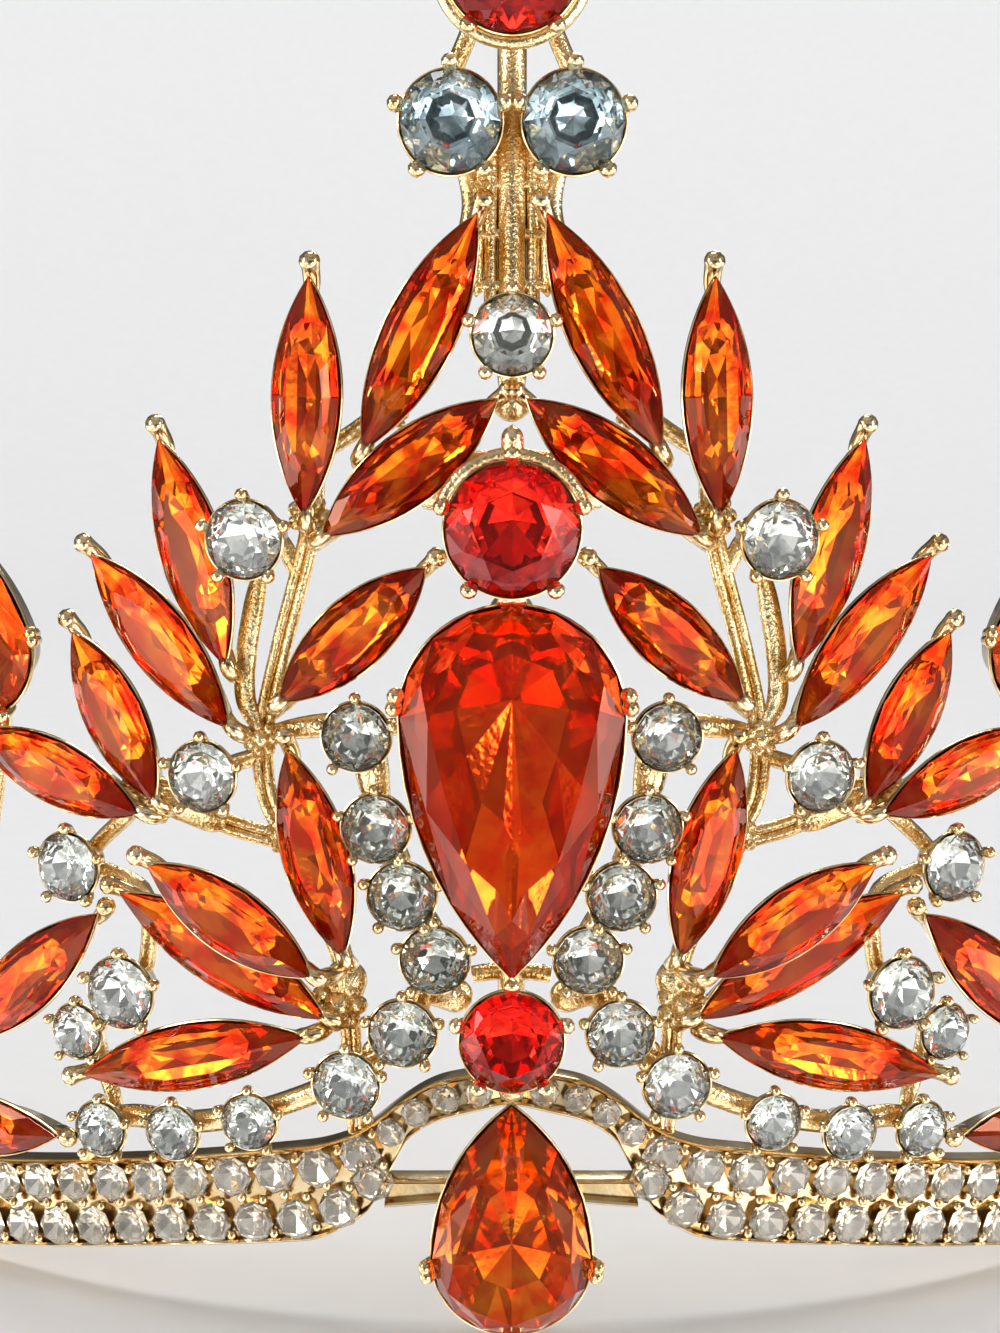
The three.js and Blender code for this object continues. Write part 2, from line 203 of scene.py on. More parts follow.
def mirror_foil(name, bright, deep, metal):
    """Tinted mirror: its colour drifts, its surface is faintly crinkled, and a part of it is matt."""
    material, tree = new_material(name)
    place = add(tree, "ShaderNodeTexCoord").outputs["Object"]
    drift = add(tree, "ShaderNodeTexNoise", {
        "Vector": place, "Scale": per_mm(FOIL_DRIFT_MM), "Detail": 2})
    crinkle = add(tree, "ShaderNodeTexNoise", {
        "Vector": place, "Scale": per_mm(FOIL_CRINKLE_MM), "Detail": 1})
    tone = add(tree, "ShaderNodeValToRGB", {"Fac": drift.outputs["Fac"]})
    tone.color_ramp.elements[0].position = 0.4
    tone.color_ramp.elements[0].color = linear(deep)
    tone.color_ramp.elements[1].position = 0.6
    tone.color_ramp.elements[1].color = linear(bright)
    bump = add(tree, "ShaderNodeBump", {
        "Height": crinkle.outputs["Fac"], "Strength": FOIL_CRINKLE_STRENGTH,
        "Distance": FOIL_CRINKLE_DEPTH_MM * MM})
    shader = add(tree, "ShaderNodeBsdfPrincipled", {
        "Base Color": tone.outputs["Color"], "Metallic": metal, "Roughness": FOIL_ROUGH,
        "Normal": bump.outputs["Normal"]})
    add(tree, "ShaderNodeOutputMaterial", {"Surface": shader.outputs["BSDF"]})
    return material


# %% Crown and foil for each colour
STONE_LOOKS = {
    "orange_glass": (crown_glass("orange_glass_polished", "#FFCCA4", "#FFB88A", "#FFB090"),
                     mirror_foil("orange_mirror_foil", "#FF9826", "#F04010", metal=0.82)),
    "deep_orange_glass": (crown_glass("deep_orange_glass_polished", "#FFC8A0", "#FFB488", "#FFB090"),
                          mirror_foil("deep_orange_mirror_foil", "#F87018", "#EE4A10", metal=0.74)),
    "amber_glass": (crown_glass("amber_glass_polished", "#FFD2A8", "#FFC490", "#FFB090"),
                    mirror_foil("amber_mirror_foil", "#FFA428", "#F86C14", metal=0.8)),
    "red_glass": (crown_glass("red_glass_polished", "#FFB49C", "#FF9C84", "#FFA49C"),
                  mirror_foil("red_mirror_foil", "#F8341C", "#D01216", metal=0.82)),
    "clear_glass": (crown_glass("clear_glass_polished", "#FFFFFF", "#FAFBF8", "#FFFFFF"),
                    mirror_foil("silver_mirror_foil", "#E8E9E4", "#BEC2BB", metal=0.84)),
    # The crest's clear rounds: the same clear glass with a darker, cooler foil, which is painted shade.
    "shaded_clear_glass": (crown_glass("cool_glass_polished", "#F4FAFF", "#EAF4FA", "#E8F2F8"),
                   mirror_foil("shaded_grey_mirror_foil", "#C8D4D4", "#93A3A6", metal=0.84)),
    "paving_glass": (crown_glass("paving_glass_polished", "#FFFFFF", "#FFFBF2", "#FFFFFF"),
                     mirror_foil("pale_mirror_foil", "#FFFAF0", "#F0E6D6", metal=0.78)),
}
# The crest's clear rounds take the darker foil above, which is painted shade.
LOOK_OF_STONE = {"great_pear": "deep_orange_glass", "drop_pear": "amber_glass",
                 "left_side_pear": "amber_glass", "right_side_pear": "amber_glass",
                 "left_crest_round": "shaded_clear_glass", "right_crest_round": "shaded_clear_glass"}
print("stone looks:", sorted(STONE_LOOKS))

# %% [markdown]
# ## Meshes from arrays
# Every new surface below is a grid of points: rows along one parameter, columns along the other.
# One function turns a grid into triangles, one welds corners that share a place, which closes poles
# and seams, and one turns a closed surface so that its faces point outwards. Pieces are gathered
# from many such surfaces.


# %% From a grid to a closed surface
def grid_triangles(rows, columns):
    """Triangles of a grid whose columns close on themselves: two for each cell."""
    row, column = np.meshgrid(np.arange(rows - 1), np.arange(columns), indexing="ij")
    beside = (column + 1) % columns
    a, b = row * columns + column, row * columns + beside
    c, d = (row + 1) * columns + beside, (row + 1) * columns + column
    cells = np.stack([a, b, c], -1), np.stack([a, c, d], -1)
    return np.concatenate([half.reshape(-1, 3) for half in cells])


def weld(points, triangles):
    """Corners at one place become one corner, and triangles with no area left go."""
    _, first, owner = np.unique(np.round(points, 5), axis=0, return_index=True, return_inverse=True)
    triangles = owner.reshape(-1)[triangles]
    whole = ((triangles[:, 0] != triangles[:, 1]) & (triangles[:, 1] != triangles[:, 2])
             & (triangles[:, 2] != triangles[:, 0]))
    return points[first], triangles[whole], whole


def outwards(points, triangles):
    """Turns every face round if the signed volume, a sum of corner products, is negative."""
    a, b, c = points[triangles[:, 0]], points[triangles[:, 1]], points[triangles[:, 2]]
    if np.einsum("ij,ij->i", a, np.cross(b, c)).sum() < 0:
        return triangles[:, ::-1]
    return triangles


def closed_grid(grid):
    """A grid of rows and columns as one closed, outward surface."""
    points, triangles, _ = weld(grid.reshape(-1, 3), grid_triangles(*grid.shape[:2]))
    return points, outwards(points - points.mean(0), triangles)


# %% From surfaces to a piece
def gathered(parts):
    """Many surfaces as one: each part's corner numbers move up by the corners before it."""
    starts = np.cumsum([0] + [len(points) for points, _ in parts[:-1]])
    points = np.concatenate([points for points, _ in parts])
    triangles = np.concatenate([triangles + start for (_, triangles), start in zip(parts, starts)])
    return points, triangles


def make_piece(name, points, triangles, materials, slot, which=None, crease=None):
    """One object at the origin from millimetre points. Edges past the crease, in degrees, stay sharp."""
    mesh = bpy.data.meshes.new(name)
    mesh.vertices.add(len(points))
    mesh.vertices.foreach_set("co", (points * MM).astype(np.float32).ravel())
    mesh.loops.add(triangles.size)
    mesh.loops.foreach_set("vertex_index", triangles.astype(np.int32).ravel())
    mesh.polygons.add(len(triangles))
    mesh.polygons.foreach_set("loop_start", np.arange(0, triangles.size, 3, dtype=np.int32))
    mesh.polygons.foreach_set("use_smooth", np.full(len(triangles), crease is not None))
    for material in materials:
        mesh.materials.append(material)
    if which is not None:
        mesh.polygons.foreach_set("material_index", which.astype(np.int32))
    mesh.update(calc_edges=True)
    mesh.validate()
    if crease is not None:
        mesh.set_sharp_from_angle(angle=math.radians(crease))
    piece = bpy.data.objects.new(name, mesh)
    bpy.context.scene.collection.objects.link(piece)
    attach(piece, "root")
    return piece


# %% [markdown]
# ## Places on the head
# The whole front follows the round of a head, so places are given as on the part itself: how far
# across from the centre front along the curve, how far up, and how far it lifts off the curve.

# %% The head's cylinder
HEAD_RADIUS = 70.0
HEAD_AXIS_Y = 39.68


def on_head(across, up, lift):
    """Turn by the arc over the radius, stand off by the lift, and rise by the height."""
    turn = np.asarray(across, float) / HEAD_RADIUS
    radius = HEAD_RADIUS + np.asarray(lift, float)
    x, y = radius * np.sin(turn), HEAD_AXIS_Y - radius * np.cos(turn)
    return np.stack(np.broadcast_arrays(x, y, np.asarray(up, float)), axis=-1)


def head_axes(across):
    """Level, up and outward directions at an arc length."""
    turn = np.asarray(across, float) / HEAD_RADIUS
    nothing, one = np.zeros_like(turn), np.ones_like(turn)
    level = np.stack([np.cos(turn), np.sin(turn), nothing], -1)
    upward = np.stack([nothing, nothing, one], -1)
    outward = np.stack([np.sin(turn), -np.cos(turn), nothing], -1)
    return level, upward, outward


# %% [markdown]
# ## Reading the stones' seats
# Each stone is a solid of its own in the frame. Its seat could be written down here again, but it
# is read off the solid, so that the two can't drift apart: its lowest point is the corner nearest
# the head's axis, its tip is the corner farthest from there, and its rim, its top and its width
# follow. A leaf's outer tip is its upper one, apart from the low leaf of the fan, which hangs
# outwards.

# %% Seats
LEAF_TIP_BELOW = "leaf_fan_low"
CUP_FLOOR = -0.2
LEAF_CUP_HEIGHT = 0.85


def seat(kind, across, up, along, **sizes):
    """A stone's place and axes: along its length, beside it and outwards."""
    level, upward, outward = head_axes(across)
    forward = along[0] * level + along[1] * upward
    axes = np.stack([forward, np.cross(outward, forward), outward])
    return SimpleNamespace(kind=kind, origin=on_head(across, up, 0), axes=axes, **sizes)


def read_seat(node):
    """A stone's kind, place, axes and sizes, from its solid's corners."""
    mesh = frame["nodes"][node].data
    flat = np.empty(len(mesh.vertices) * 3, np.float32)
    mesh.vertices.foreach_get("co", flat)
    points = flat.reshape(-1, 3).astype(float) / MM
    reach = np.hypot(points[:, 0], points[:, 1] - HEAD_AXIS_Y)
    lowest = points[reach.argmin()]
    across = HEAD_RADIUS * math.atan2(lowest[0], HEAD_AXIS_Y - lowest[1])
    local = (points - on_head(across, lowest[2], 0)) @ np.stack(head_axes(across)).T
    spread = np.hypot(local[:, 0], local[:, 1])
    tip = local[spread.argmax()]
    kind = "leaf" if "leaf" in node else "pear" if "pear" in node else "round"
    along = tip[:2] / np.hypot(*tip[:2]) if kind != "round" else np.array([1.0, 0.0])
    if kind == "leaf" and (along[1] < 0) != (LEAF_TIP_BELOW in node):
        along = -along
    wide = 2 * np.abs(local[:, :2] @ np.array([-along[1], along[0]])).max()
    floor = local[:, 2].min() - LEAF_CUP_HEIGHT if kind == "leaf" else CUP_FLOOR
    return seat(kind, across, lowest[2], along, wide=wide, tip=spread.max(), girdle=tip[2], floor=floor,
                crown=local[:, 2].max() - tip[2], depth=tip[2] - local[:, 2].min())


slot_of = {row["node"]: row["material_slot"] for row in frame["record"]["subparts"]}
stone_nodes = [node for node in sorted(frame["nodes"]) if node != "frame"]
seats = {node: read_seat(node) for node in stone_nodes}
for node in ("great_pear", "heart_round", "right_leaf_crest"):
    print(node, "tip", round(seats[node].tip, 2), "wide", round(seats[node].wide, 2))

# %% [markdown]
# ## Outlines
# Seen from the front there are three outlines. A leaf is two equal arcs that meet in points, a
# round is a circle, and a pear is half a circle that runs into two arcs. Each is a function of a
# turn, and can grow by a few tenths of a millimetre, which is how the cups and claws keep to the
# stones.


# %% Outline functions
def arc_width(x, half, wide):
    """Half the width of two equal arcs at a way x from their middle: circle less its sunk centre."""
    arc = (half * half + wide * wide / 4) / wide
    return np.sqrt(np.maximum(arc * arc - x * x, 0)) - (arc - wide / 2)


def outline(stone, turns, grow=0.0):
    """Points round a stone, at the turns given, grown outwards."""
    cosine, sine = np.cos(turns), np.sin(turns)
    radius = stone.wide / 2 + grow
    if stone.kind == "round":
        return np.stack([radius * cosine, radius * sine], -1)
    tip = stone.tip + grow
    side = np.sign(np.round(sine, 6)) * arc_width(tip * cosine, tip, 2 * radius)
    if stone.kind == "leaf":
        return np.stack([tip * cosine, side], -1)
    ahead = cosine > 1e-6
    return np.stack([np.where(ahead, tip, radius) * cosine, np.where(ahead, side, radius * sine)], -1)


# %% [markdown]
# ## Cutting a stone
# A brilliant cut has a flat table on top, a ring of kites and halves down to the girdle, and long
# facets below that meet in one point. A cone with bevelled edges would show one plain star, so the
# facets are laid out as they are on a real stone. As a grid, the cut has a row for each ring and a
# column for each half facet. Every second column is a main facet: moving its points and choosing
# the diagonals by turns gives the real facet plan. A leaf's lower facets are long ones, like the
# sides of a hipped roof: two ridges on either side run straight along the stone and clip to its
# outline, and they meet in a keel that rises to both ends. A round's and a pear's lowest point lies
# a little above its middle, so that one half looks deep and the other bright. A plain cut has two
# rings less.

# %% Facets between two rings, and a leaf's ridges
RIDGE_INSIDE = 0.75


def zigzag(row, columns, leaning):
    """Triangles between two rings whose diagonals turn at every column."""
    column = np.arange(columns)
    beside = (column + 1) % columns
    a, b = row * columns + column, row * columns + beside
    c, d = (row + 1) * columns + beside, (row + 1) * columns + column
    lean = ((column + leaning) % 2 == 0)[:, None]
    first = np.where(lean, np.stack([a, b, c], -1), np.stack([a, b, d], -1))
    second = np.where(lean, np.stack([a, c, d], -1), np.stack([b, c, d], -1))
    return np.concatenate([first, second])


def ridge(stone, rim, share, flat):
    """Lines on both sides: a share of the length by a share of the width, kept inside the outline."""
    ways = share * rim[:, 0]
    inside = np.minimum(flat * stone.wide / 2, RIDGE_INSIDE * arc_width(ways, stone.tip, stone.wide))
    return np.column_stack([ways, np.sign(np.round(rim[:, 1], 6)) * inside])


# %% Stone cut
TABLE = {"leaf": 0.58, "round": 0.58, "pear": 0.74}
FOIL_DEPTH = {"leaf": 0.64, "round": 0.58, "pear": 0.72}
LOWER, LOWER_DROP = 0.5, 0.62
GIRDLE = 0.12
POINT_RISE = 0.14
STAR_MOST = 0.9
KEEL, KEEL_RISE = 0.4, 0.25
RIDGES = [(0.62, 0.6, 0.6), (0.5, 0.28, 0.86)]
LEANINGS = (0, 0, 1, 0, 0, 0, 0)
FOIL_ROW, PLAIN_FOIL_ROW = 4, 3


def cut_stone(stone, columns, plain=False):
    """Rings from the table's middle to the lowest point: shrunk outlines, each with its height."""
    turns = np.arange(columns) * 2 * np.pi / columns
    rim = outline(stone, turns)
    main = np.arange(columns) % 2 == 0
    bend = np.where(main | (stone.kind == "leaf"), 1, np.cos(2 * np.pi / columns))[:, None]
    table, depth = TABLE[stone.kind], stone.depth * FOIL_DEPTH[stone.kind]
    star = (1 + table) / 2
    star_drop = np.minimum((1 - star * bend[:, 0]) / (1 - table), STAR_MOST)
    rise = POINT_RISE * stone.wide / 2 * stone.axes[:2, 2]
    top = stone.girdle + stone.crown
    rings = [(rim * 0, top), (rim * table * bend, top),
             (rim * star, stone.girdle + stone.crown * star_drop), (rim, stone.girdle + GIRDLE / 2)]
    if not plain:
        rings.append((rim, stone.girdle - GIRDLE / 2))
    if stone.kind == "leaf":
        rings += [(ridge(stone, rim, share, flat), stone.girdle - depth * drop)
                  for share, flat, drop in RIDGES]
        rings.append((rim * [KEEL, 0], stone.girdle - depth * (1 - KEEL_RISE * np.cos(turns) ** 2)))
    else:
        if not plain:
            rings.append((rim * LOWER * bend + rise / 2, stone.girdle - depth * LOWER_DROP))
        rings.append((rim * 0 + rise, stone.girdle - depth))
    corners = [np.column_stack([plan, np.broadcast_to(height, columns)]) for plan, height in rings]
    leanings = LEANINGS[:len(rings) - 1]
    triangles = np.concatenate([zigzag(row, columns, leaning) for row, leaning in enumerate(leanings)])
    foil = np.repeat(np.arange(len(leanings)) >= (PLAIN_FOIL_ROW if plain else FOIL_ROW), 2 * columns)
    points, triangles, whole = weld(np.concatenate(corners), triangles)
    return points, outwards(points - points.mean(0), triangles), foil[whole]


def placed(points, stone):
    """Points from the stone's own axes to the tiara's."""
    return points @ stone.axes + stone.origin


# %% Main stones
STONE_COLUMNS = 16

for node in stone_nodes:
    stone = seats[node]
    points, triangles, foil = cut_stone(stone, STONE_COLUMNS)
    look = LOOK_OF_STONE.get(node, slot_of[node])
    piece = make_piece(f"stone_{node}", placed(points, stone), triangles, STONE_LOOKS[look],
                       which=foil, slot=slot_of[node])
    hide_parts(node)
print("main stones:", len(stone_nodes))

# %% [markdown]
# ## Small clear rounds
# Strings of smaller rhinestones run beside the great pear, over the band and in the cluster beside
# the fan. In the solids they are one body with their cups. Here they get the same brilliant cut as
# the large ones.

# %% Small clear rounds
SMALL_ROUNDS = [
    (9.0, 37.6, 4.0), (7.9, 32.1, 4.0), (6.4, 28.0, 4.0), (4.5, 24.1, 4.0), (6.4, 19.5, 4.0),
    (9.8, 16.1, 4.0), (15.9, 13.3, 3.4), (20.9, 12.1, 3.4), (25.9, 11.7, 3.4), (24.0, 20.9, 4.4),
    (27.4, 17.9, 3.4), (27.5, 28.6, 4.2),
]
ROUND_DEPTH_SHARE = 0.42
ROUND_CROWN_SHARE = 0.2
ROUND_SEAT = 0.85


def small_seat(across, up, wide):
    """A small round's seat: its depth, girdle and crown are shares of its width."""
    depth = wide * ROUND_DEPTH_SHARE
    return seat("round", across, up, (1.0, 0.0), wide=wide, tip=wide / 2, floor=CUP_FLOOR, depth=depth,
                girdle=CUP_FLOOR + ROUND_SEAT + depth, crown=wide * ROUND_CROWN_SHARE)


small_seats = [small_seat(side * across, up, wide)
               for side in (1, -1) for across, up, wide in SMALL_ROUNDS]
cuts = [cut_stone(stone, STONE_COLUMNS) for stone in small_seats]
points, triangles = gathered([(placed(cut[0], stone), cut[1]) for cut, stone in zip(cuts, small_seats)])
make_piece("small_clear_rounds", points, triangles, STONE_LOOKS["clear_glass"],
           which=np.concatenate([cut[2] for cut in cuts]), slot="clear_glass")
print("small rounds:", len(small_seats))

# %% [markdown]
# ## Cups
# Each stone sits in a thin cup whose wall tapers to a floor at the back, the more so the wider the
# stone. A turned profile would do for the rounds alone, so a cup is the stone's own outline, grown
# by a wall and carried down through a row of heights, with a rounded rim just under the girdle.

# %% Cups
CUP_WALL = 0.2
CUP_DROP = 0.12
CUP_TAPER = 0.22
CUP_SEAT = 0.3
CUP_COLUMNS = 48


def cup(stone):
    """Rings of the outline: out from the floor's middle, up the wall, over the rim, down to the seat."""
    turns = np.arange(CUP_COLUMNS) * 2 * np.pi / CUP_COLUMNS
    rim = stone.girdle - CUP_DROP
    seat_height = stone.girdle - stone.depth - CUP_SEAT
    middle, inset = (stone.floor + rim) / 2, CUP_TAPER * stone.wide
    rows = [(-inset, 0.0, stone.floor), (-inset, 0.9, stone.floor), (-inset, 1.0, stone.floor + 0.08),
            (-inset * 0.5, 1.0, middle), (CUP_WALL * 0.6, 1.0, rim - 0.3), (CUP_WALL, 1.0, rim - 0.15),
            (CUP_WALL * 0.9, 1.0, rim - 0.04), (CUP_WALL * 0.55, 1.0, rim), (0.04, 1.0, rim - 0.04),
            (0.02, 1.0, rim - 0.15), (-0.2, 0.0, seat_height)]
    grid = [np.column_stack([outline(stone, turns, grow) * scale, np.full(CUP_COLUMNS, height)])
            for grow, scale, height in rows]
    points, triangles = closed_grid(np.stack(grid))
    return placed(points, stone), triangles


all_seats = [seats[node] for node in stone_nodes] + small_seats
cups = make_piece("stone_cups", *gathered([cup(stone) for stone in all_seats]), [gold],
                  crease=40, slot="gold_plate")
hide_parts("frame")
print("cups:", len(all_seats), "triangles:", len(cups.data.polygons))

# %% [markdown]
# ## Claws
# Rounds are held by five little claws with ball ends, leaves by a finger at the outer tip that ends
# in a knob, and pears by pairs of claws at both sides and at the round end. A leaf's inner end runs
# down a foot into the metal that it grows from. Each is a tube along a short path by the cup's wall,
# with a radius that swells into a ball. Blender's bevelled curves make tubes too, but here the
# outward direction is known at every point, so a circle carried along the path can be pressed flat
# the right way for a web.


# %% Tube along a path
def unit(vectors):
    """Vectors over their lengths."""
    return vectors / np.linalg.norm(vectors, axis=-1, keepdims=True)


def tube(path, radii, sides, normals, flat=1.0):
    """A circle of the given radii round each path point, across the path, pressed along the normals."""
    tangent = unit(np.gradient(path, axis=0))
    beside = unit(np.cross(tangent, np.broadcast_to(normals, path.shape)))
    over = np.cross(beside, tangent)
    turns = np.arange(sides) * 2 * np.pi / sides
    wide, high = np.cos(turns)[None, :, None], flat * np.sin(turns)[None, :, None]
    circle = wide * beside[:, None] + high * over[:, None]
    return closed_grid(path[:, None] + np.asarray(radii)[:, None, None] * circle)


def smooth_path(points, steps):
    """A curve through every given point: a cubic between each two, with slopes from their neighbours."""
    points = np.asarray(points, float)
    padded = np.concatenate([2 * points[:1] - points[1:2], points, 2 * points[-1:] - points[-2:-1]])
    place = np.linspace(0, len(points) - 1, steps)
    cell = np.minimum(place.astype(int), len(points) - 2)
    t = (place - cell)[:, None]
    a, b, c, d = padded[cell], padded[cell + 1], padded[cell + 2], padded[cell + 3]
    straight = 2 * b + (c - a) * t
    return 0.5 * (straight + (2 * a - 5 * b + 4 * c - d) * t ** 2 + (3 * b - a - 3 * c + d) * t ** 3)


def rounded_ends(radius, steps, share):
    """Radii of a wire with dome ends: a quarter circle over the first and last share of its length."""
    place = np.linspace(0, 1, steps)
    end = np.clip(np.minimum(place, 1 - place) / share, 0, 1)
    return radius * np.sqrt(1 - (1 - end) ** 2)


# %% Claws of rounds, leaves and pears
CLAW_SIDES = 10
CLAW_STONE = 4.5
CLAW_MOST = 1.25
PRONG_TURNS = [95, 101, 177, 183, 259, 265]
BALL_CLAW_TURNS = np.radians([90, 162, 234, 306, 18])
CLAW_RADII = np.array([0.0, 0.26, 0.27, 0.28, 0.3, 0.37, 0.42, 0.4, 0.3, 0.0])
FINGER_RADII = np.array([0.0, 0.42, 0.5, 0.52, 0.52, 0.55, 0.62, 0.62, 0.45, 0.0])
FOOT_RADII = np.array([0.0, 0.42, 0.5, 0.52, 0.54, 0.56, 0.58, 0.58, 0.5, 0.0])
FINGER = [(-1.2, -1.1), (0.1, -0.75), (0.9, -0.25), (1.25, 0.3)]


def claw(stone, turn, profile, radii):
    """A tube in the upright plane at one turn: the profile gives ways out from the rim, and heights."""
    foot = outline(stone, np.array([turn]))[0]
    away = unit(foot)
    ways = smooth_path(profile, len(radii))
    path = np.column_stack([foot + away * ways[:, :1], stone.girdle + ways[:, 1]])
    points, triangles = tube(path, radii, CLAW_SIDES, np.array([-away[1], away[0], 0.0]))
    return placed(points, stone), triangles


def claws_of(stone):
    """All claws of one stone: a finger and a foot for a leaf, balls for a round or a pear."""
    if stone.kind == "leaf":
        foot = [(-1.1, -1.0), (-0.2, -0.55), (0.5, -0.75), (1.2, -0.1 - stone.girdle)]
        return [claw(stone, 0.0, FINGER, FINGER_RADII), claw(stone, np.pi, foot, FOOT_RADII)]
    size = min(stone.wide / CLAW_STONE, CLAW_MOST)
    profile = [(-0.3, -1.0 * size), (0.3, -0.4), (0.38, 0.1), (0.12, 0.42)]
    if stone.kind == "round":
        return [claw(stone, turn, profile, CLAW_RADII * size) for turn in BALL_CLAW_TURNS]
    return [claw(stone, turn, profile, CLAW_RADII * CLAW_MOST) for turn in np.radians(PRONG_TURNS)]


claw_parts = [part for stone in all_seats for part in claws_of(stone)]
claws = make_piece("ball_claws", *gathered(claw_parts), [gold], crease=60, slot="gold_plate")
print("claws, triangles:", len(claws.data.polygons))

# %% [markdown]
# ## Stems and links
# Drawn wire joins the cups: a double wire for the main stems, a thicker spine in the middle and
# single wires for the links. Flat cast webs fill the corners between neighbouring cups. The routes
# follow the part's own, as points across and up on the head's curve.

# %% Wire sizes and routes
WIRE_LIFT = -0.35
WIRE_STEPS = 8
WIRE_END, WEB_END = 0.06, 0.3
STEM_WIRE = 0.34
STEM_GAP = 0.33
STEM_LIFT = -0.15
LINK_WIRE = 0.55
STRING_WIRE = 0.75
STRING_LIFT = 0.0
CREST_WIRE = 0.4
SPINE_WIRE = 0.85
SPINES = [[(0, 15), (0, 28), (0, 41), (0, 53.4)], [(0, 57.2), (0, 65), (0, 74), (0, 82)]]
WIRE_SIDES = 12
STEMS = {
    "stem": [(11.8, 54), (12.2, 49.5), (14.1, 42.5), (15.3, 37.2), (15.1, 33.4), (13.6, 30.5), (12, 27),
             (10.4, 23), (10, 19), (9.6, 11)],
    "side_stem": [(37.6, 5), (37.7, 15), (36.4, 25), (34.6, 34), (33.4, 41)],
    "side_branch": [(13.8, 30.6), (18, 31.6), (22.2, 33.6), (25, 33.2)],
}
STRING = [(15.3, 37.4), (9, 37.6), (7.9, 32.1), (6.4, 28), (4.5, 24.1), (6.4, 19.5), (9.8, 16.1),
          (15.9, 13.3), (20.9, 12.1), (25.9, 11.7), (29, 7)]
CREST_BARS = [[(1.25, 61.8), (1.25, 67.5), (1.1, 72.6)], [(2.1, 63.4), (2.0, 67.5), (1.7, 72.4)],
              [(0, 64.2), (1.2, 64.1), (2.4, 64.2)], [(0, 67.2), (1.5, 67.0), (3.0, 67.2)],
              [(0, 70.0), (1.4, 69.9), (2.8, 70.0)]]
LINKS = {
    "cluster": [(25.9, 11.7), (27.4, 17.9), (24, 20.9), (23.6, 26.6), (27.5, 28.6), (23.6, 32.6)],
    "wing_cup": [(15.2, 36), (18.3, 34.9), (21.4, 33.2)],
    "heart_leaf": [(15, 38.4), (13.5, 39.6), (12, 41)],
    "cross_leaf": [(12.4, 48.6), (10.6, 49.8), (9, 51)],
    "crest_leaf_foot": [(7.4, 57), (9.7, 55.4), (12, 54)],
    "crest_leaf_tip": [(3, 65.8), (2.4, 69), (3.35, 73)],
    "crest": [(0, 72.6), (1.7, 72.7), (3.35, 73)],
    "stem_cup": [(12.8, 46.8), (14.8, 49.4), (18.4, 46.6)],
    "pear_high": [(9, 37.6), (7.6, 37.8), (6, 38)],
    "pear_low": [(6.4, 28), (5, 28.4), (3.6, 28.8)],
    "collar": [(3.2, 52.6), (4.6, 53.2), (6, 53.8)],
    "top_foot": [(3.4, 76.4), (2.6, 78.2), (1.9, 80)],
    "lower_tab": [(0, 22.75), (1.3, 22.7), (2.5, 22.5)],
}
WEBS = {
    "wing": ([(15.3, 37.2), (16.3, 39.4), (16.2, 42.2), (15.7, 45), (15.1, 47.8)], 0.68),
    "heart_plate": ([(0, 53.7), (1.8, 53.7), (3.4, 53.4)], 0.8),
    "heart_web": ([(2.7, 53.2), (4, 52.4), (5.6, 51.4)], 1.0),
    "lower_web": ([(2.4, 20.9), (4.2, 21.6), (5.8, 21.9)], 1.1),
    "string_high": ([(8.8, 36.2), (8.5, 34.8), (8.1, 33.4)], 0.9),
    "string_low": ([(7.4, 31), (7.1, 30), (6.7, 29)], 0.9),
    "string_foot": ([(7.4, 18.6), (8.1, 17.8), (8.9, 17)], 0.9),
    "branch": ([(17.6, 31.5), (20.4, 32.4), (23.2, 33.2)], 0.95),
    "fan": ([(9.8, 23.4), (10.4, 21.4), (11.4, 19.2)], 1.3),
    "pair": ([(36.6, 16.4), (37.5, 15.6), (38.4, 16.4)], 1.2),
}
WEB_FLAT = 0.5
WEB_LIFT = 0.15


# %% Wires over the head's curve
def head_wire(route, radius, shift=0.0, lift=WIRE_LIFT, flat=1.0):
    """A wire over the head's curve: its route smoothed, moved sideways, lifted and pressed flat."""
    steps = WIRE_STEPS * len(route)
    way = smooth_path(route, steps)
    slope = unit(np.gradient(way, axis=0))
    way = way + shift * np.column_stack([-slope[:, 1], slope[:, 0]])
    path, normals = on_head(way[:, 0], way[:, 1], lift), head_axes(way[:, 0])[2]
    radii = rounded_ends(radius, steps, WIRE_END if flat == 1 else WEB_END)
    return tube(path, radii, WIRE_SIDES, normals, flat)


def mirrored(route, side):
    """The same route on either side of the centre."""
    return [(side * across, up) for across, up in route]


wires = [head_wire(route, SPINE_WIRE) for route in SPINES]
for side in (1, -1):
    for route in STEMS.values():
        wires += [head_wire(mirrored(route, side), STEM_WIRE, shift, STEM_LIFT)
                  for shift in (STEM_GAP, -STEM_GAP)]
    wires += [head_wire(mirrored(route, side), LINK_WIRE) for route in LINKS.values()]
    wires += [head_wire(mirrored(route, side), CREST_WIRE) for route in CREST_BARS]
    wires += [head_wire(mirrored(route, side), wide, lift=WEB_LIFT, flat=WEB_FLAT)
              for route, wide in WEBS.values()]
    wires.append(head_wire(mirrored(STRING, side), STRING_WIRE, lift=STRING_LIFT))
stems = make_piece("stem_wires", *gathered(wires), [cast_gold], crease=60, slot="gold_plate")
print("wires:", len(wires), "triangles:", len(stems.data.polygons))

# %% [markdown]
# ## Hubs, collars and end loops
# Where leaves meet, the casting ends in a knot of gold grains: a ring of balls round a larger one.
# A collar holds a part of each large red stone's rim, a post stands on the lower one's collar, two
# domed bosses sit on the spine, and a loop closes each end of the band. Balls are circles shrunk
# along an axis, and the collars and the loops are tubes along arcs. A remesh would melt the grains
# together, so they stay whole balls with dark creases between them.


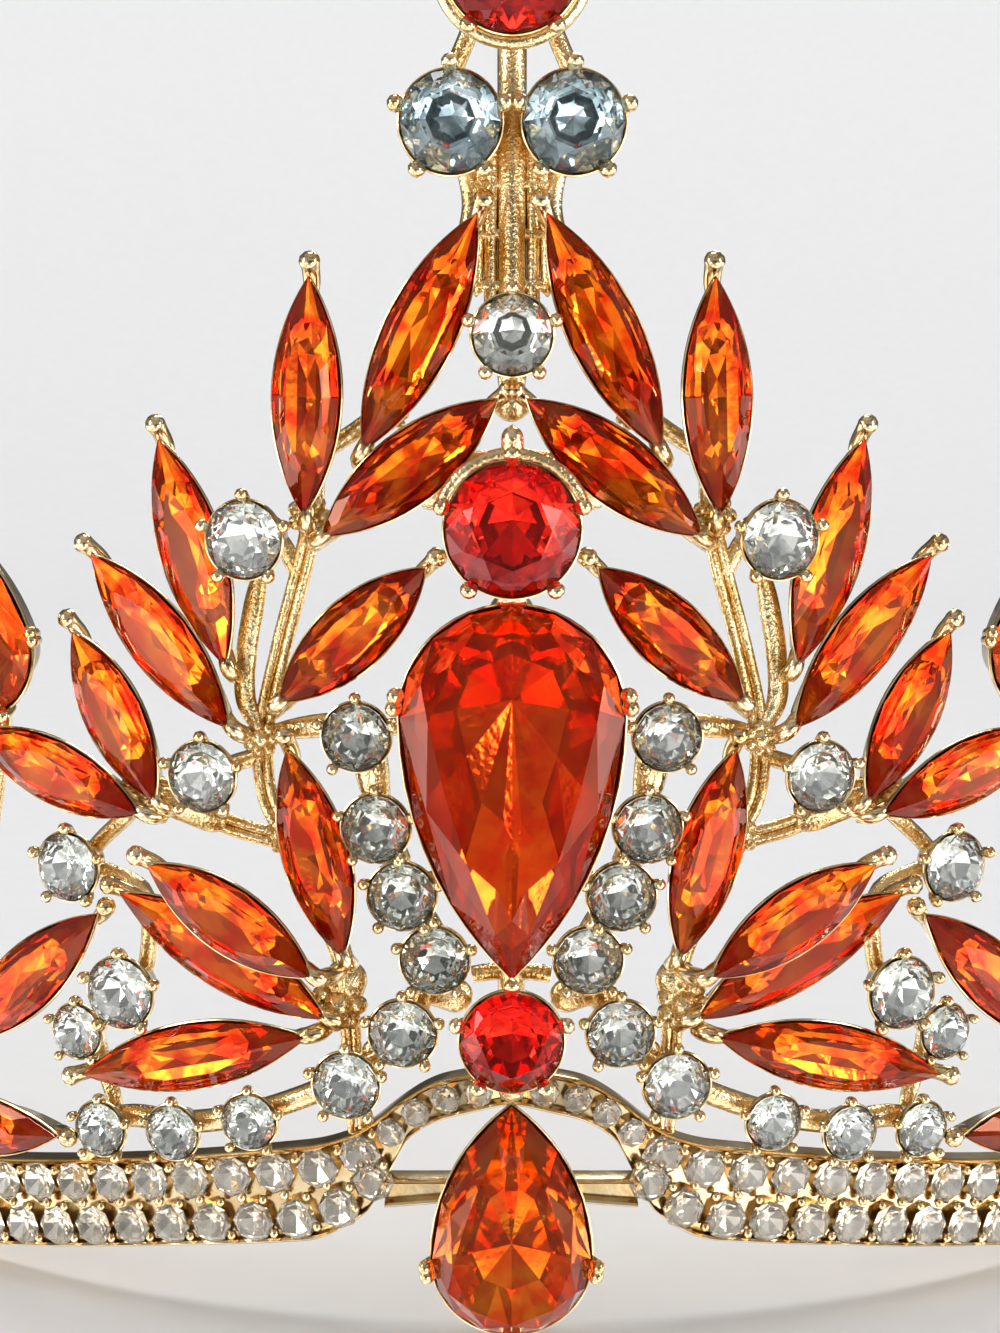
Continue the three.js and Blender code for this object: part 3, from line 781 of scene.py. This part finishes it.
# %% Balls, and copies of a surface
def ball(radius, rows=7, columns=10):
    """A sphere: rings of the sine of a half turn, at heights of its cosine."""
    lean = np.linspace(0, np.pi, rows)
    turns = np.arange(columns) * 2 * np.pi / columns
    grid = np.stack([np.sin(lean)[:, None] * np.cos(turns), np.sin(lean)[:, None] * np.sin(turns),
                     np.cos(lean)[:, None].repeat(columns, 1)], -1)
    return closed_grid(radius * grid)


def copies(points, triangles, across, up, lift):
    """The same surface at many places: each copy turned to the head's axes there."""
    axes = np.stack(head_axes(across), axis=1)
    spots = on_head(across, up, lift)
    cloud = np.einsum("pi,mij->mpj", points, axes) + spots[:, None]
    numbers = triangles[None] + (np.arange(len(across)) * len(points))[:, None, None]
    return cloud.reshape(-1, 3), numbers.reshape(-1, 3)


# %% Hubs and bosses
HUBS = [(12.1, 50.6, 1.15), (15.3, 37.0, 1.0), (14.2, 31.0, 0.9), (10.6, 20.6, 1.5), (24.0, 33.0, 1.1),
        (37.5, 15.7, 1.5), (7.0, 56.6, 0.8)]
HUB_BALL, HUB_GRAIN, HUB_REACH = 0.72, 0.42, 0.8
GRAIN_LIFT = 0.3
GRAINS = 7
BOSSES = [(0.0, 57.3, 1.15), (0.0, 44.7, 1.4)]
BOSS_BACK, BOSS_FRONT = -1.0, 1.6
BOSS_DOME = 0.9
BOSS_RINGS, BOSS_COLUMNS = 8, 24


def hub(across, up, radius):
    """A ball with smaller balls in a ring round it, each a share of the hub's radius."""
    turns = np.arange(GRAINS) * 2 * np.pi / GRAINS
    reach = HUB_REACH * radius
    ring = copies(*ball(HUB_GRAIN * radius), across + reach * np.cos(turns), up + reach * np.sin(turns),
                  GRAIN_LIFT)
    return [ring, copies(*ball(HUB_BALL * radius), np.array([across]), np.array([up]), GRAIN_LIFT)]


def boss(across, up, radius):
    """A short stud with a domed end: rings of a quarter circle's reach over the dome's height."""
    lean = np.linspace(0, np.pi / 2, BOSS_RINGS)
    reach = radius * np.concatenate([[0, 1], np.cos(lean)])
    height = np.concatenate([[BOSS_BACK, BOSS_BACK], BOSS_FRONT + BOSS_DOME * (np.sin(lean) - 1)])
    turns = np.arange(BOSS_COLUMNS) * 2 * np.pi / BOSS_COLUMNS
    grid = np.stack([reach[:, None] * np.cos(turns), reach[:, None] * np.sin(turns),
                     height[:, None].repeat(BOSS_COLUMNS, 1)], -1)
    return copies(*closed_grid(grid), np.array([across]), np.array([up]), 0.0)


# %% Collars, post and end loops
COLLARS = {"heart_round": (14, 166, 0.45), "top_round": (185, 355, 0.75)}
COLLAR_AWAY = 0.22
COLLAR_WIRE = 0.42
COLLAR_STEPS, COLLAR_END = 40, 0.08
POST = [(-0.2, -1.2), (0.6, -0.7), (1.3, -0.6), (2.1, -0.6)]
POST_RADII = np.array([0.0, 0.5, 0.6, 0.64, 0.66, 0.66, 0.66, 0.62, 0.45, 0.0])
LOOP_RADIUS, LOOP_WIRE, LOOP_UP = 2.2, 0.6, 3.0
LOOP_STEPS = 37
HALF_ARC = 104.0


def collar(stone, start, end, drop):
    """A tube along an arc round a stone, from a start to an end in degrees, some way below the girdle."""
    turns = np.radians(np.linspace(start, end, COLLAR_STEPS))
    reach = stone.tip + COLLAR_AWAY
    path = np.column_stack([reach * np.cos(turns), reach * np.sin(turns),
                            np.full(COLLAR_STEPS, stone.girdle - drop)])
    radii = rounded_ends(COLLAR_WIRE, COLLAR_STEPS, COLLAR_END)
    points, triangles = tube(path, radii, WIRE_SIDES, np.array([0.0, 0.0, 1.0]))
    return placed(points, stone), triangles


def end_loop(side):
    """A ring: a tube along a whole circle whose first and last rings meet."""
    middle = side * (HALF_ARC + LOOP_RADIUS - LOOP_WIRE)
    turns = np.linspace(0, 2 * np.pi, LOOP_STEPS)
    lean = np.arange(WIRE_SIDES) * 2 * np.pi / WIRE_SIDES
    reach = LOOP_RADIUS + LOOP_WIRE * np.cos(lean)
    grid = np.stack([reach * np.cos(turns)[:, None], reach * np.sin(turns)[:, None],
                     LOOP_WIRE * np.sin(lean) * np.ones((LOOP_STEPS, 1))], -1)
    points, triangles = closed_grid(grid)
    return copies(points, triangles, np.array([middle]), np.array([LOOP_UP]), 0.0)


# %% The small castings as one piece
details = [collar(seats[node], *ends) for node, ends in COLLARS.items()]
details.append(claw(seats["heart_round"], np.pi / 2, POST, POST_RADII))
details += [boss(*row) for row in BOSSES]
for side in (1, -1):
    details += [part for across, up, radius in HUBS for part in hub(side * across, up, radius)]
    details.append(end_loop(side))
knots = make_piece("grains_and_loops", *gathered(details), [cast_gold], crease=60, slot="gold_plate")
print("details:", len(details), "triangles:", len(knots.data.polygons))

# %% [markdown]
# ## The band
# The band is a strip bent round the head with a raised rail along each edge. It narrows to an arch
# over the drop, and a plain bar on either side holds the drop. A straight strip could be bent by a
# modifier, but its edges climb and spread, so it is one profile carried along the curve. The
# profile's points hang from the lower or the upper edge, so the rails stay the same while the strip
# widens, and the edges are averaged over a short way, which rounds every corner of the plan.

# %% Band and bars
BAND = [(0.0, 14.6, 17.0), (4.8, 13.4, 16.0), (7.2, 11.6, 14.4), (7.9, 8.4, 13.7), (9.2, 7.0, 12.6),
        (11.8, 5.4, 11.6), (21.8, 4.0, 9.9), (33.4, 2.0, 8.0), (46.0, 0.0, 6.2), (104.0, 0.0, 6.0)]
BAR = [(3.0, 8.3, 9.8), (9.2, 7.6, 9.6)]
RAIL = [(0.0, 0.45), (0.05, 0.65), (0.18, 0.78), (0.31, 0.65), (0.36, 0.1)]
BAND_BACK = -0.8
BAND_ROUNDING, ROUNDING_SAMPLES = 1.0, 9
ARCH_HALF, SIDE_START, BAND_STEPS = 13.6, 14.0, 70
BAR_START, BAR_END, BAR_STEPS = 3.0, 7.8, 10


def edges(stations, across):
    """Lower and upper edge at an arc length: straight between stations, then averaged to both sides."""
    table = np.array(stations)
    about = np.linspace(-BAND_ROUNDING, BAND_ROUNDING, ROUNDING_SAMPLES)
    ways = np.abs(np.asarray(across)[..., None] + about)
    return [np.interp(ways, table[:, 0], table[:, column]).mean(-1) for column in (1, 2)]


def strip(stations, across):
    """The profile carried along the arc: rails hang from both edges, the back is flat, the ends close."""
    low, high = edges(stations, across)
    ways, rises = np.array(RAIL).T
    ins = np.concatenate([[0.0], ways, -ways[::-1], [0.0]])
    lifts = np.concatenate([[BAND_BACK], rises, rises[::-1], [BAND_BACK]])
    upper = np.arange(len(ins)) > len(RAIL)
    up = np.where(upper, high[:, None], low[:, None]) + ins
    grid = on_head(across[:, None], up, lifts)
    middles = grid.mean(1, keepdims=True).repeat(len(ins), 1)
    return closed_grid(np.concatenate([middles[:1], grid, middles[-1:]]))


side_run = np.linspace(SIDE_START, HALF_ARC, BAND_STEPS)
arch_run = np.linspace(-ARCH_HALF, ARCH_HALF, BAND_STEPS)
strips = [strip(BAND, np.concatenate([-side_run[::-1], arch_run, side_run])),
          strip(BAR, np.linspace(BAR_START, BAR_END, BAR_STEPS)),
          strip(BAR, np.linspace(-BAR_END, -BAR_START, BAR_STEPS))]
band = make_piece("paved_band", *gathered(strips), [gold], crease=35, slot="gold_plate")
print("strips:", len(strips), "triangles:", len(band.data.polygons))

# %% [markdown]
# ## The paved field
# Two staggered rows of small rhinestones pave the band, and the upper one goes on over the arch
# with smaller stones. A stone that is repeated this often has few facets: the plain cut with eight
# columns. Places are set off along the row's own length, so the stones stay close where the row
# climbs. Instances could be placed one by one, but one array of places and one of axes turn the
# stone into the whole field at once. Tiny balls between the stones hold them.

# %% Paving
PAVE_WIDE = 2.7
PAVE_PITCH = 2.85
PAVE_INSET = 1.5
PAVE_LIFT = 0.62
PAVE_CROWN, PAVE_DEPTH, PAVE_COLUMNS = 0.42, 0.8, 8
ARCH_WIDE = 1.9
ARCH_PITCH = 2.05
ARCH_STONES = 5
PAVE_END = 101.5
CORNER_STONE = 8.5

fine = np.linspace(0.0, PAVE_END, 2000)
low, high = edges(BAND, fine)
centre_line = np.maximum(high - PAVE_INSET, (low + high) / 2)
length = np.concatenate([[0.0], np.cumsum(np.hypot(np.diff(fine), np.diff(centre_line)))])
arch = np.interp(np.arange(ARCH_STONES) * ARCH_PITCH, length, fine)
first = (ARCH_STONES - 0.5) * ARCH_PITCH + PAVE_PITCH / 2
upper = np.interp(np.arange(first, length[-1], PAVE_PITCH), length, fine)
lower = np.concatenate([[CORNER_STONE], (upper[:-1] + upper[1:]) / 2])
print("upper row starts at", round(upper[0], 2), "arch row ends at", round(arch[-1], 2))

pave_stone = SimpleNamespace(kind="round", wide=PAVE_WIDE, tip=PAVE_WIDE / 2, girdle=0.0,
                             crown=PAVE_CROWN, depth=PAVE_DEPTH, axes=np.stack(head_axes(0.0)))
pave_points, pave_triangles, pave_foil = cut_stone(pave_stone, PAVE_COLUMNS, plain=True)
right = np.concatenate([np.column_stack([upper, np.interp(upper, fine, centre_line)]),
                        np.column_stack([lower, np.interp(lower, fine, low) + PAVE_INSET])])
field = np.concatenate([right, right * [-1, 1]])
over = np.column_stack([arch, np.interp(arch, fine, centre_line)])
over = np.concatenate([over, over[1:] * [-1, 1]])
points, triangles = gathered([
    copies(pave_points, pave_triangles, field[:, 0], field[:, 1], PAVE_LIFT),
    copies(pave_points * ARCH_WIDE / PAVE_WIDE, pave_triangles, over[:, 0], over[:, 1], PAVE_LIFT)])
make_piece("paved_rhinestones", points, triangles, STONE_LOOKS["paving_glass"],
           which=np.tile(pave_foil, len(field) + len(over)), slot="clear_glass")
print("paving:", len(field) + len(over), "stones of", len(pave_triangles), "triangles")

# %% Grains between the paving stones
GRAIN_INSET = 0.7
GRAIN_RADIUS, GRAIN_ROWS, GRAIN_COLUMNS = 0.34, 5, 6
GRAIN_OVER = 0.1

low_at, high_at = np.interp(lower, fine, low), np.interp(lower, fine, high)
between = np.concatenate([
    np.column_stack([lower, high_at - GRAIN_INSET]),
    np.column_stack([(lower[:-1] + lower[1:]) / 2, (low_at[:-1] + low_at[1:]) / 2 + GRAIN_INSET]),
    np.column_stack([lower - PAVE_PITCH / 4, (low_at + high_at) / 2]),
    np.column_stack([lower + PAVE_PITCH / 4, (low_at + high_at) / 2])])
between = np.concatenate([between, between * [-1, 1]])
grain = ball(GRAIN_RADIUS, GRAIN_ROWS, GRAIN_COLUMNS)
points, triangles = copies(*grain, between[:, 0], between[:, 1], PAVE_LIFT + GRAIN_OVER)
grains = make_piece("paving_grains", points, triangles, [gold], crease=80, slot="gold_plate")
print("grains:", len(between), "triangles:", len(grains.data.polygons))

# %% [markdown]
# ## Paper
# The backdrop is a sheet of pale paper. A flat floor would end in a horizon, so the sheet curves up
# all round. Its fibres, drawn coarser than real ones so that they can show, make the tone drift a
# little. It is left out of what the stones and the metal mirror: they mirror the room.

# %% Paper sweep
FIBRE_MM = 4.0
FLOOR_RADIUS = 430.0
FLOOR_MIDDLE = 300.0
BEND_RADIUS = 400.0
WALL_HEIGHT = 700.0
SWEEP_COLUMNS = 96

paper, tree = new_material("seamless_paper_matt")
place = add(tree, "ShaderNodeTexCoord").outputs["Object"]
fibre = add(tree, "ShaderNodeTexNoise", {"Vector": place, "Scale": per_mm(FIBRE_MM), "Detail": 2})
tone = add(tree, "ShaderNodeValToRGB", {"Fac": fibre.outputs["Fac"]})
tone.color_ramp.elements[0].color = linear("#E9E9EA")
tone.color_ramp.elements[1].color = linear("#EDEDED")
shader = add(tree, "ShaderNodeBsdfPrincipled", {"Base Color": tone.outputs["Color"], "Roughness": 0.9})
add(tree, "ShaderNodeOutputMaterial", {"Surface": shader.outputs["BSDF"]})

turns = np.arange(SWEEP_COLUMNS) * 2 * np.pi / SWEEP_COLUMNS
bend = np.radians(np.arange(0, 91, 6))
reach = FLOOR_RADIUS + BEND_RADIUS * np.sin(bend)
radii = np.concatenate([[0.0, FLOOR_MIDDLE], reach, reach[-1:]])
heights = np.concatenate([[0.0, 0.0], BEND_RADIUS * (1 - np.cos(bend)), [WALL_HEIGHT]])
grid = np.stack([radii[:, None] * np.cos(turns), radii[:, None] * np.sin(turns),
                 heights[:, None].repeat(SWEEP_COLUMNS, 1)], -1)
points, triangles, _ = weld(grid.reshape(-1, 3), grid_triangles(*grid.shape[:2]))
mesh = bpy.data.meshes.new("paper_sweep")
mesh.from_pydata((points * MM).tolist(), [], triangles.tolist())
mesh.polygons.foreach_set("use_smooth", np.full(len(triangles), True))
mesh.materials.append(paper)
sweep = bpy.data.objects.new("paper_sweep", mesh)
sweep.visible_glossy = False
sweep.visible_transmission = False
bpy.context.scene.collection.objects.link(sweep)
print("paper:", len(triangles), "triangles")

# %% [markdown]
# ## The room
# Cut stones and polished metal show what lies about them, so the room matters more than the lamps.
# An even white room would leave every facet alike. By height this one is a light floor, a white
# table, and darker walls and ceiling. Soft patches lie over all of it, so that neighbouring facets
# differ. There is a dark place where the viewer stands, and the half behind the tiara is dimmer, so
# that the plain gold of the back is not too bright.

# %% Room
ROOM = ((0.3, "#E0E0E0"), (0.37, "#FFFFFF"), (0.46, "#FFFFFF"), (0.5, "#686868"), (0.8, "#686868"))
ROOM_FLOOR, ROOM_TOP = "#C8C8C8", "#606060"
ROOM_SEED, ROOM_PATCHES = 5.1, 3.0
PATCH_EDGES, PATCH_STRENGTHS = (0.4, 0.6), (1.4, 5.2)
VIEWER_WAY = (0.0, -1.0, -0.1)
VIEWER_EDGES, VIEWER_SHADE = (0.25, 0.5), 0.1
BEHIND_EDGES, BEHIND_SHADE = (1.3, 1.8), 0.35

world = bpy.data.worlds.new("studio")
world.use_nodes = True
tree = world.node_tree
tree.nodes.clear()
way = add(tree, "ShaderNodeTexCoord").outputs["Generated"]
split = add(tree, "ShaderNodeSeparateXYZ", {"Vector": way})
rise = add(tree, "ShaderNodeMapRange", {"Value": split.outputs["Z"], "From Min": -1.0})
level = add(tree, "ShaderNodeValToRGB", {"Fac": rise.outputs["Result"]})
for height, grey in ROOM:
    level.color_ramp.elements.new(height).color = linear(grey)
level.color_ramp.elements[0].color = linear(ROOM_FLOOR)
level.color_ramp.elements[-1].color = linear(ROOM_TOP)
viewer = add(tree, "ShaderNodeVectorMath", {0: way, 1: VIEWER_WAY}, operation="DISTANCE")
shade = add(tree, "ShaderNodeMapRange", {
    "Value": viewer.outputs["Value"], "From Min": VIEWER_EDGES[0], "From Max": VIEWER_EDGES[1],
    "To Min": VIEWER_SHADE})
behind = add(tree, "ShaderNodeMapRange", {
    "Value": viewer.outputs["Value"], "From Min": BEHIND_EDGES[0], "From Max": BEHIND_EDGES[1],
    "To Min": 1.0, "To Max": BEHIND_SHADE})
patches = add(tree, "ShaderNodeTexNoise", {
    "Vector": way, "W": ROOM_SEED, "Scale": ROOM_PATCHES, "Detail": 1}, noise_dimensions="4D")
contrast = add(tree, "ShaderNodeMapRange", {
    "Value": patches.outputs["Fac"], "From Min": PATCH_EDGES[0], "From Max": PATCH_EDGES[1],
    "To Min": PATCH_STRENGTHS[0], "To Max": PATCH_STRENGTHS[1]})
dimmed = add(tree, "ShaderNodeMath", {
    0: behind.outputs["Result"], 1: shade.outputs["Result"]}, operation="MULTIPLY")
strength = add(tree, "ShaderNodeMath", {
    0: contrast.outputs["Result"], 1: dimmed.outputs["Value"]}, operation="MULTIPLY")
sky = add(tree, "ShaderNodeBackground", {
    "Color": level.outputs["Color"], "Strength": strength.outputs["Value"]})
add(tree, "ShaderNodeOutputWorld", {"Surface": sky.outputs["Background"]})
bpy.context.scene.world = world
bpy.context.scene.view_settings.view_transform = "Standard"
print("room levels:", len(level.color_ramp.elements))

# %% [markdown]
# ## Lamps
# Four panels put glints on the stones and the metal, and leave the paper alone. One round lamp,
# high over the middle, lights the paper alone, about evenly from the floor to the wall. Each lamp
# has a list of what it lights or leaves out.

# %% Panels and the paper's lamp
PANELS = {
    "panel_over": ((0, 60, 420), (0, -20, 40), (170, 110), 0.35),
    "panel_left": ((-300, -180, 170), (0, -20, 45), (60, 160), 0.36),
    "panel_right": ((300, -200, 140), (0, -20, 45), (50, 150), 0.28),
    "panel_back": ((60, 300, 300), (0, 0, 40), (160, 80), 0.5),
}
PAPER_LAMP_HEIGHT = 1000.0
PAPER_LAMP_RADIUS = 260.0
PAPER_LAMP_WATTS = 20.5

shaded = bpy.data.collections.new("not_lit_by_panels")
shaded.objects.link(sweep)
shaded.collection_objects[0].light_linking.link_state = "EXCLUDE"
for name, (spot, aim, size, watts) in PANELS.items():
    lamp = bpy.data.lights.new(name, "AREA")
    lamp.shape = "RECTANGLE"
    lamp.size, lamp.size_y = size[0] * MM, size[1] * MM
    lamp.energy = watts
    holder = bpy.data.objects.new(name, lamp)
    holder.location = np.array(spot) * MM
    back = unit(np.array(spot, float) - np.array(aim, float))
    holder.rotation_euler = (math.acos(back[2]), 0, math.atan2(back[0], -back[1]))
    holder.visible_camera = False
    holder.light_linking.receiver_collection = shaded
    bpy.context.scene.collection.objects.link(holder)

lit = bpy.data.collections.new("lit_by_paper_lamp")
lit.objects.link(sweep)
lamp = bpy.data.lights.new("paper_lamp", "POINT")
lamp.energy = PAPER_LAMP_WATTS
lamp.shadow_soft_size = PAPER_LAMP_RADIUS * MM
holder = bpy.data.objects.new("paper_lamp", lamp)
holder.location = (0, 0, PAPER_LAMP_HEIGHT * MM)
holder.visible_camera = False
holder.light_linking.receiver_collection = lit
bpy.context.scene.collection.objects.link(holder)
print("panels:", len(PANELS), "and one lamp for the paper")
